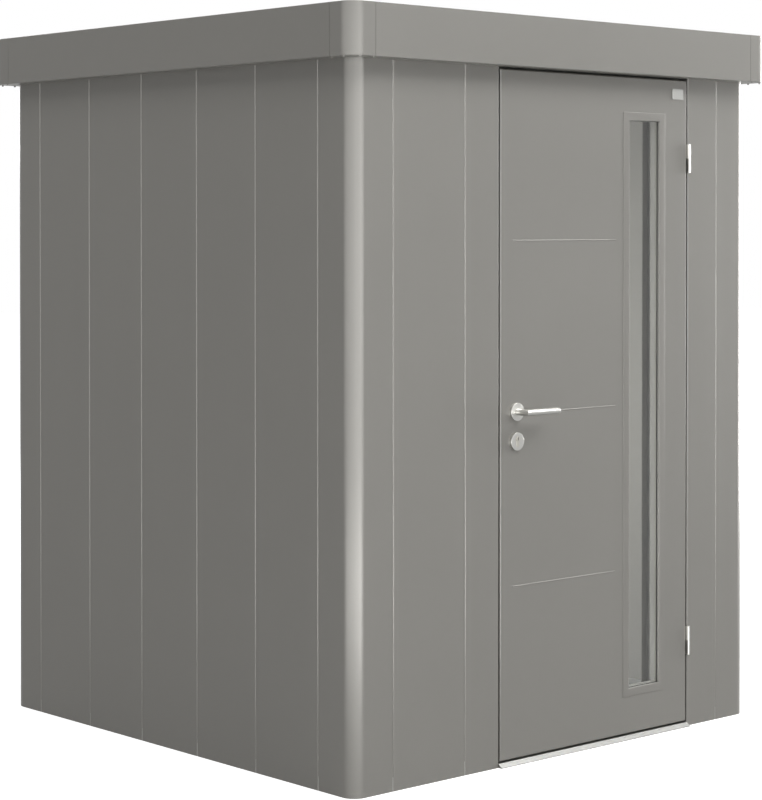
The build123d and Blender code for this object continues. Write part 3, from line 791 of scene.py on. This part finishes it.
@dataclass
class DoorSeals:
    """Rubber round the doorway's stops and on both faces of the window's pane."""

    stop_section: tuple[Pair, ...] = (
        (2.0, 0.0), (2.0, -1.5), (4.0, -4.2), (6.5, -5.3), (9.0, -4.2), (11.0, -1.5), (11.0, 0.0)
    )
    stop_face: float = -806 * MM
    stop_x: Pair = (-265 * MM, 540 * MM)
    stop_z: Pair = (32 * MM, 2036 * MM)
    gasket_section: tuple[Pair, ...] = ((0.0, 0.0), (0.0, 1.0), (-0.5, 0.9), (-0.9, 0.3), (-0.9, 0.0))
    collar: float = 12 * MM

    def fit(self, shop: Workshop) -> None:
        """Fit all of them.

        Args:
            shop: Workshop that finishes them.
        """
        seal = Sculptor()
        low = Vector((self.stop_x[0], self.stop_face, self.stop_z[0]))
        high = Vector((self.stop_x[1], self.stop_face, self.stop_z[1]))
        seal.framed(low, high, [(out * MM, along * MM) for out, along in self.stop_section])
        shop.place("door_stop_seal", seal.finished("door_stop_seal"), Body.SHED, Slot.RUBBER)
        low, high = inset_box("window_pane", self.collar, self.collar)
        gasket = Sculptor()
        for face, side in ((low.y, -1), (high.y, 1)):
            section = [(out * MM, side * along * MM) for out, along in self.gasket_section]
            gasket.framed(Vector((low.x, face, low.z)), Vector((high.x, face, high.z)), section)
        shop.place("window_gaskets", gasket.finished("window_gaskets"), Body.DOOR, Slot.RUBBER)


@dataclass
class WindowTrim:
    """Pressed trim round the window, with the soft edges that catch a line of light."""

    collar: float = 3 * MM
    thickness: float = 1.5 * MM
    border: float = 27 * MM
    end_border: float = 25.5 * MM
    inner_round: float = 2.0 * MM
    outer_round: float = 1.4 * MM

    def fit(self, shop: Workshop) -> None:
        """Fit it in place of the plain outer trim.

        Args:
            shop: Workshop that finishes it.
        """
        near, far = inset_box("window_frame_outer", self.border, self.end_border)
        depth = far.y - near.y
        skin = self.thickness - depth
        inner, outer = self.inner_round, self.outer_round
        section = [(0.0, 0.0), *arc((inner, inner - depth), inner, math.pi),
                   *arc((self.border - outer, outer - depth), outer, -QUARTER),
                   (self.border, skin), (self.collar, skin), (self.collar, 0.0)]
        trim = Sculptor()
        trim.framed(Vector((near.x, far.y, near.z)), far, section, self.end_border / self.border)
        shop.place("window_trim_outer", trim.finished("window_trim_outer"), Body.DOOR, Slot.PAINT,
                   ("window_frame_outer",))


@dataclass
class DoorFixings:
    """Screws and caps of the door's metalwork."""

    pin: Pair = (560 * MM, -856 * MM)
    half_hinge: float = 44.5 * MM
    jamb_strap: float = 557 * MM
    door_strap: float = 554.5 * MM
    hinge_rows: Pair = (10 * MM, 12 * MM)
    hinge_columns: Pair = (12 * MM, 26 * MM)
    flat: Pair = (3.6 * MM, 0.3 * MM)
    plate_inset: float = 9 * MM
    rivet: Pair = (3.4 * MM, 1.1 * MM)
    trim_rows: int = 7
    trim_border: float = 13.5 * MM
    cap: Pair = (4.2 * MM, 0.9 * MM)

    def fit(self, fitter: Fitter) -> None:
        """Fit all of them.

        Args:
            fitter: Who sets them.
        """
        for node, way, body in (("jamb_hinges", LEFT, Body.SHED), ("door_hinges", RIGHT, Body.DOOR)):
            fitter.fit(f"{node}_screws", Head.SOCKET, spun(self.strap_seats(node, way)), self.flat, body,
                       Slot.STAINLESS)
            fitter.fit(f"{node}_caps", Head.CAP, self.cap_seats(node), self.cap, body, Slot.STAINLESS)
        for node, way, body in (("strike_plate", RIGHT, Body.SHED), ("lock_faceplate", LEFT, Body.DOOR)):
            low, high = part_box(node)
            x = high.x if way.x > 0 else low.x
            y = (low.y + high.y) / 2
            ends = (low.z + self.plate_inset, high.z - self.plate_inset)
            fitter.fit(f"{node}_screws", Head.SOCKET, spun((Vector((x, y, z)), way) for z in ends), self.flat,
                       body, Slot.STAINLESS)
        fitter.fit("window_frame_rivets", Head.RIVET, spun(self.trim_seats()), self.rivet, Body.DOOR,
                   Slot.STAINLESS)

    def halves(self, node: str) -> list[Pair]:
        """Give the lowest and highest Z of the two hinges in a node.

        Args:
            node: Node with the same half of both hinges.

        Returns:
            The Z range of each.
        """
        low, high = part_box(node)
        return [(low.z, low.z + self.half_hinge), (high.z - self.half_hinge, high.z)]

    def strap_seats(self, node: str, way: Vector) -> list[tuple[Vector, Vector]]:
        """Give the places of the screws of the straps, staggered in two rows.

        Args:
            node: Node with the same half of both hinges.
            way: Way that the straps face.

        Returns:
            Place and way of each screw.
        """
        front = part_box("door_jamb_right")[0].y
        x = self.jamb_strap if way.x < 0 else self.door_strap
        seats = []
        for low, high in self.halves(node):
            for z, y in zip((low + self.hinge_rows[0], high - self.hinge_rows[1]), self.hinge_columns):
                seats.append((Vector((x, front + y, z)), way))
        return seats

    def cap_seats(self, node: str) -> list[Seat]:
        """Give the free ends of the knuckles: the lower ends on the jamb, the upper ends on the door.

        Args:
            node: Node with the same half of both hinges.

        Returns:
            The seats.
        """
        if node == "jamb_hinges":
            return [Seat(Vector((*self.pin, low)), DOWN) for low, _ in self.halves(node)]
        return [Seat(Vector((*self.pin, high)), UP) for _, high in self.halves(node)]

    def trim_seats(self) -> list[tuple[Vector, Vector]]:
        """Give the places of the rivets that hold the window's inner trim."""
        near, far = inset_box("window_frame_inner", self.trim_border, self.trim_border)
        seats = []
        for row in range(self.trim_rows):
            z = near.z + (far.z - near.z) * row / (self.trim_rows - 1)
            seats += [(Vector((x, far.y, z)), IN) for x in (near.x, far.x)]
        return seats


@dataclass
class LeverSet:
    """Levers, round covers and lock cylinder, the same on both faces of the leaf."""

    axis_x: float = -212.5 * MM
    height: float = 1041 * MM
    lock_drop: float = 87 * MM
    front: float = -850 * MM
    thickness: float = 38 * MM
    bar_radius: float = 9.5 * MM
    reach: float = 60 * MM
    length: float = 130 * MM
    mitre_edge: float = 0.35 * MM
    tip_edge: float = 2.6 * MM
    running_gap: float = 0.3 * MM
    cover_radius: float = 26.5 * MM
    cover_thickness: float = 8 * MM
    cover_edge: float = 0.7 * MM
    plug_radius: float = 8.5 * MM
    stem_half_width: float = 5 * MM
    stem_low: float = 16.5 * MM
    foot_radius: float = 4 * MM
    profile_gap: float = 0.3 * MM
    key_plug_radius: float = 6.6 * MM
    key_plug_height: float = 0.8 * MM
    key_plug_edge: float = 0.25 * MM
    # Height of the black sheet in each keyway, which paints the shade of a deep keyway.
    shade_sheet_height: float = 0.25 * MM
    cylinder_proud: float = 1.0 * MM
    keyway: Pair = (3.0 * MM, 9.4 * MM)
    keyway_nick: float = 0.45 * MM
    cover_screw: Pair = (1.9 * MM, 0.25 * MM)
    cover_screw_reach: float = 18 * MM
    grub_screw: Pair = (2.4 * MM, 0.35 * MM)
    grub_from_cover: float = 6 * MM
    grub_sunk: float = 0.1 * MM

    def fit(self, shop: Workshop, fitter: Fitter) -> None:
        """Fit all of them.

        Args:
            shop: Workshop that finishes them.
            fitter: Who sets the screws.
        """
        for node, way in (("lever_outer", OUT), ("lever_inner", IN)):
            name = f"{node}_bar"
            shop.place(name, self.bar(self.face(way), name), Body.HANDLE, Slot.STAINLESS, (node,), sharp=40.0)
        self.covers(shop, "lever_rosettes", self.height, circle(self.bar_radius + self.running_gap))
        self.covers(shop, "cylinder_rosettes", self.height - self.lock_drop, self.profile())
        self.plugs(shop)
        self.screws(fitter)

    def plugs(self, shop: Workshop) -> None:
        """Fit the key plugs, and in their keyways black rubber dust shutters that paint the shade of a deep keyway.

        Args:
            shop: Workshop that finishes them.
        """
        plugs, keyway_shade_sheets = Sculptor(), Sculptor()
        base = self.cover_thickness + self.cylinder_proud
        front, edge, radius = base + self.key_plug_height, self.key_plug_edge, self.key_plug_radius
        for way in (OUT, IN):
            place = self.face(way, self.height - self.lock_drop + self.stem_low - self.plug_radius)
            self.pierced(plugs, place, [(radius, base), (radius, front - edge), (radius - edge, front)], self.slot())
            # A black rubber sheet just above the keyway's floor: painted shade of a deep keyway, shaped as a dust
            # shutter.
            layers = (base, base + self.shade_sheet_height)
            for ring in keyway_shade_sheets.skin([raised(place, self.slot(), height) for height in layers]):
                keyway_shade_sheets.cap(ring)
        shop.place("key_plugs", plugs.finished("key_plugs"), Body.DOOR, Slot.NICKEL)
        # The keyway sheets are black rubber, painted shade standing for the keyway's depth.
        shop.place("keyway_dust_shutters", keyway_shade_sheets.finished("keyway_dust_shutters"), Body.DOOR, Slot.RUBBER)

    def screws(self, fitter: Fitter) -> None:
        """Set the screws of the cylinder covers and the grub screw under each lever.

        Args:
            fitter: Who sets them.
        """
        screws, grubs = [], []
        for way in (OUT, IN):
            middle = self.face(way, self.height - self.lock_drop)
            screws += [(middle @ Vector((side * self.cover_screw_reach, 0, self.cover_thickness)), way)
                       for side in (-1, 1)]
            under = Vector((0, self.grub_sunk - self.bar_radius, self.cover_thickness + self.grub_from_cover))
            grubs.append((self.face(way) @ under, DOWN))
        fitter.fit("cylinder_cover_screws", Head.SOCKET, spun(screws), self.cover_screw, Body.DOOR, Slot.STAINLESS)
        fitter.fit("lever_grub_screws", Head.SOCKET, spun(grubs), self.grub_screw, Body.HANDLE, Slot.STAINLESS)

    def face(self, way: Vector, height: float | None = None) -> Matrix:
        """Give a place on a face of the leaf: its X runs towards the hinges and its Z out of the face.

        Args:
            way: Way out of the face.
            height: Height above the ground, the lever's own unless given.

        Returns:
            The place as a matrix, mirrored on the inner face.
        """
        y = self.front if way.y < 0 else self.front + self.thickness
        z = self.height if height is None else height
        columns = (RIGHT, UP, way, Vector((self.axis_x, y, z)))
        rows = [[column[row] for column in columns] for row in range(3)]
        return Matrix([*rows, [0, 0, 0, 1]])

    def profile(self) -> list[Vector]:
        """Give the outline of the cylinder's hole: a round plug over a narrow stem with a round foot."""
        radius = self.plug_radius + self.profile_gap
        half = self.stem_half_width + self.profile_gap
        join = math.asin(half / radius)
        foot = self.foot_radius
        low = foot - self.stem_low - self.profile_gap
        points = arc((0.0, self.stem_low - self.plug_radius), radius, join - QUARTER, 2 * (math.pi - join), 40)
        points += arc((foot - half, low), foot, math.pi, steps=8)
        points += arc((half - foot, low), foot, -QUARTER, steps=8)
        return [Vector(point) for point in points]

    def slot(self) -> list[Vector]:
        """Give the outline of the keyway."""
        half, high, nick = self.keyway[0] / 2, self.keyway[1] / 2, self.keyway_nick
        return [Vector(point) for point in ((-half, -high), (half, -high), (half, -nick), (half - nick, 0),
                                            (half, nick), (half, high), (-half, high))]

    def pierced(self, shape: Sculptor, place: Matrix, rim: Sequence[Pair],
                hole: Sequence[Vector]) -> None:
        """Add a round plate with a hole of any outline.

        Args:
            shape: Mesh that gets it.
            place: Where it stands.
            rim: Radius and height of each ring from the back to the front.
            hole: Outline of the hole.
        """
        work = shape.work
        walls = shape.skin([raised(place, circle(radius), height) for radius, height in rim])
        sides = shape.skin([raised(place, hole, height) for height in (rim[0][1], rim[-1][1])])
        for outer, inner in ((walls[0], sides[0]), (walls[-1], sides[-1])):
            edges = []
            for ring in (outer, inner):
                edges += [work.edges.get((ring[index - 1], ring[index])) for index in range(len(ring))]
            bmesh.ops.triangle_fill(work, use_beauty=True, use_dissolve=False, edges=edges)

    def covers(self, shop: Workshop, node: str, height: float, hole: Sequence[Vector]) -> None:
        """Turn the two covers that stand for a node, with a rounded rim.

        Args:
            shop: Workshop that finishes them.
            node: Node that they stand for.
            height: Height of their middle above the ground.
            hole: Outline of their hole.
        """
        edge = self.cover_edge
        rim = [(self.cover_radius, 0.0), *arc((self.cover_radius - edge, self.cover_thickness - edge), edge, 0.0)]
        shape = Sculptor()
        for way in (OUT, IN):
            self.pierced(shape, self.face(way, height), rim, hole)
        name = f"{node}_rounded"
        shop.place(name, shape.finished(name), Body.DOOR, Slot.STAINLESS, (node,), sharp=50.0)

    def bar(self, place: Matrix, name: str) -> Mesh:
        """Build a lever: a round neck and a round grip, mitred, with a rounded tip.

        Args:
            place: Place on the leaf's face.
            name: Name of the mesh.

        Returns:
            The mesh.
        """
        across = [tuple(point) for point in circle(self.bar_radius)]
        axis = self.reach - self.bar_radius
        rings = [[Vector((x, z, self.running_gap)) for x, z in across],
                 [Vector((x, z, axis - x - self.mitre_edge)) for x, z in across],
                 [Vector((x + self.mitre_edge, z, axis - x)) for x, z in across]]
        for radius, past in arc((self.bar_radius - self.tip_edge, 0.0), self.tip_edge, 0.0):
            size, far = radius / self.bar_radius, self.length - self.tip_edge + past
            rings.append([Vector((far, z * size, axis - x * size)) for x, z in across])
        shape = Sculptor()
        made = shape.skin([[place @ point for point in ring] for ring in rings])
        shape.cap(made[0])
        shape.cap(made[-1])
        return shape.finished(name)


def hang_lamp(name: str, power: float, size: Pair, place: Vector, way: Vector) -> Object:
    """Hang a rectangular lamp that the camera doesn't see.

    Args:
        name: Its name.
        power: Its power in watts.
        size: Its width and height.
        place: Where it hangs.
        way: Way that it faces.

    Returns:
        The lamp.
    """
    data = bpy.data.lights.new(name, "AREA")
    data.shape = "RECTANGLE"
    data.size, data.size_y = size
    data.energy = power
    lamp = linked(name, data)
    lamp.location = place
    lamp.rotation_euler = way.to_track_quat("-Z", "Y").to_euler()
    lamp.visible_camera = False
    return lamp


@dataclass(frozen=True)
class Softbox:
    """Rectangular lamp that looks at a point of the shed; a gloss lamp shows only in reflections."""

    name: str
    azimuth: float
    elevation: float
    power: float
    size: Pair = (3.0, 4.0)
    distance: float = 8.0
    aim: Triple = (0.0, 0.0, 1.1)
    gloss_only: bool = False

    def hang(self) -> None:
        """Hang the lamp."""
        turn, lift = math.radians(self.azimuth), math.radians(self.elevation)
        way = Vector((-math.sin(turn) * math.cos(lift), -math.cos(turn) * math.cos(lift), math.sin(lift)))
        lamp = hang_lamp(self.name, self.power, self.size, Vector(self.aim) + way * self.distance, -way)
        lamp.visible_diffuse = not self.gloss_only


@dataclass
class Studio:
    """Floor, lamps, world and camera. Azimuths run from -Y towards -X."""

    eye: Triple = (-4.969, -5.561, 1.586)
    yaw: float = 0.7341
    pitch: float = 0.0133
    focal_pixels: float = 2271.0
    centre_pixels: Pair = (388.5, 257.1)
    frame_pixels: tuple[int, int] = (762, 800)
    sensor_width: float = 36.0
    farthest: float = 100.0
    lamps: tuple[Softbox, ...] = (
        Softbox("right_softbox", -80, 4, 640),
        Softbox("high_right_softbox", -45, 45, 300, (4.5, 4.5), 10.0),
        Softbox("high_front_softbox", 0, 52, 960, (11.0, 6.0), 14.0),
        Softbox("high_left_softbox", 90, 54, 225, (7.0, 4.0)),
        Softbox("back_softbox", 195, 20, 300),
        Softbox("bead_softbox", -41, 40, 430, gloss_only=True),
    )
    strip_azimuths: tuple[float, ...] = (-4.0, 29.0, 62.0, 95.0)
    strip_glow: tuple[float, ...] = (4.3, 3.6, 2.9, 2.1)
    strip_size: Pair = (4.7, 3.1)
    strip_lift: float = 0.02
    low_share: float = 1.7
    low_strip_size: Pair = (1.15, 0.46)
    low_strip_distance: float = 2.0
    corner: Pair = (-0.85, -0.85)
    room_power: float = 30.0
    room_size: Pair = (0.4, 1.6)
    room_place: Triple = (-0.45, 0.3, 1.1)
    ambient: float = 0.06
    mirrored: float = 0.55
    floor_reach: float = 30.0
    floor_glow: float = 0.8
    floor_fade: Pair = (2.5, 5.0)
    floor_grey: float = 0.5
    floor_matt: float = 0.65

    def build(self) -> None:
        """Set up all of it."""
        self.camera()
        for lamp in (*self.lamps, *self.strips()):
            lamp.hang()
        self.room_light()
        self.world()
        self.floor()

    def strips(self) -> Iterable[Softbox]:
        """Give the gloss lamps that the rounded front corner mirrors, far ones and low near ones."""
        for number, (azimuth, glow) in enumerate(zip(self.strip_azimuths, self.strip_glow)):
            width, height = self.strip_size
            yield Softbox(f"strip_{number}", azimuth, 0, glow * math.pi * width * height, self.strip_size,
                          aim=(0.0, 0.0, height / 2 + self.strip_lift), gloss_only=True)
            width, height = self.low_strip_size
            power = glow * self.low_share * math.pi * width * height
            yield Softbox(f"low_strip_{number}", azimuth, 0, power, self.low_strip_size, self.low_strip_distance,
                          (*self.corner, height / 2 + self.strip_lift), gloss_only=True)

    def camera(self) -> None:
        """Set the camera that the photo was solved for."""
        data = bpy.data.cameras.new("photo_camera")
        width, height = self.frame_pixels
        longest = max(width, height)
        data.sensor_width = self.sensor_width
        data.lens = self.focal_pixels / longest * self.sensor_width
        data.shift_x = (width / 2 - self.centre_pixels[0]) / longest
        data.shift_y = (self.centre_pixels[1] - height / 2) / longest
        data.clip_end = self.farthest
        camera = linked("photo_camera", data)
        camera.location = self.eye
        camera.rotation_euler = Euler((QUARTER - self.pitch, 0.0, -self.yaw))
        bpy.context.scene.camera = camera

    def room_light(self) -> None:
        """Hang a soft upright lamp in the room, which stands for daylight that comes in."""
        lamp = hang_lamp("room_light", self.room_power, self.room_size, Vector(self.room_place), RIGHT)
        lamp.visible_glossy = lamp.visible_transmission = False

    def white_for(self, tree: NodeTree) -> tuple[NodeSocket, NodeSocket]:
        """Tell which rays find the studio white, and how white: all of it seen, less of it mirrored.

        Args:
            tree: Node tree that gets the nodes.

        Returns:
            Sockets with 1 for rays from the camera, from glass and from gloss, and with the white's strength.
        """
        rays = add(tree, "ShaderNodeLightPath").outputs
        seen = add(tree, "ShaderNodeMath", {0: rays["Is Camera Ray"], 1: rays["Is Transmission Ray"]},
                   operation="MAXIMUM").outputs[0]
        share = add(tree, "ShaderNodeMath", {0: seen, 1: rays["Is Glossy Ray"]}, operation="MAXIMUM")
        dimmed = add(tree, "ShaderNodeMath", {0: rays["Is Glossy Ray"], 1: self.mirrored}, operation="MULTIPLY")
        strength = add(tree, "ShaderNodeMath", {0: seen, 1: dimmed}, operation="MAXIMUM")
        return share.outputs[0], strength.outputs[0]

    def world(self) -> None:
        """Set a white world that lights the shed only a little."""
        world = bpy.data.worlds.new("studio")
        world.use_nodes = True
        tree = world.node_tree
        tree.nodes.clear()
        soft = add(tree, "ShaderNodeBackground", {"Color": WHITE, "Strength": self.ambient})
        share, strength = self.white_for(tree)
        white = add(tree, "ShaderNodeBackground", {"Color": WHITE, "Strength": strength})
        mixed = add(tree, "ShaderNodeMixShader", {0: share, 1: soft, 2: white})
        add(tree, "ShaderNodeOutputWorld", {"Surface": mixed})
        bpy.context.scene.world = world

    def floor(self) -> None:
        """Lay a white floor that keeps a faint shadow."""
        mesh = bpy.data.meshes.new("floor")
        reach = self.floor_reach
        mesh.from_pydata([(-reach, -reach, 0), (reach, -reach, 0), (reach, reach, 0), (-reach, reach, 0)], [],
                         [(0, 1, 2, 3)])
        floor = linked("floor", mesh)
        mix = Recipe("studio_floor")
        tree = mix.tree
        far = add(tree, "ShaderNodeVectorMath", {0: mix.place}, operation="LENGTH")
        glow = mix.ranged(far.outputs["Value"], self.floor_glow, 1.0, self.floor_fade)
        lit = add(tree, "ShaderNodeEmission", {"Color": WHITE, "Strength": glow})
        grey = add(tree, "ShaderNodeBsdfDiffuse", {"Color": (self.floor_grey,) * 3 + (1,)})
        shown = add(tree, "ShaderNodeAddShader", {0: lit, 1: grey})
        share, strength = self.white_for(tree)
        white = add(tree, "ShaderNodeEmission", {"Color": WHITE, "Strength": strength})
        matt = add(tree, "ShaderNodeBsdfDiffuse", {"Color": (self.floor_matt,) * 3 + (1,)})
        rays = add(tree, "ShaderNodeLightPath").outputs
        other = add(tree, "ShaderNodeMixShader", {0: share, 1: matt, 2: white})
        mixed = add(tree, "ShaderNodeMixShader", {0: rays["Is Camera Ray"], 1: other, 2: shown})
        mesh.materials.append(mix.closed(mixed))


def main() -> None:
    """Build the scene."""
    logging.basicConfig(level=logging.INFO)
    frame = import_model()
    bpy.context.scene.view_settings.view_transform = "Standard"
    Studio().build()
    shop = Workshop(frame)
    shop.dress()
    fitter = Fitter(shop)
    RoofFixings().fit(fitter)
    DoorSeals().fit(shop)
    WindowTrim().fit(shop)
    DoorFixings().fit(fitter)
    LeverSet().fit(shop, fitter)


if __name__ == "__main__":
    main()
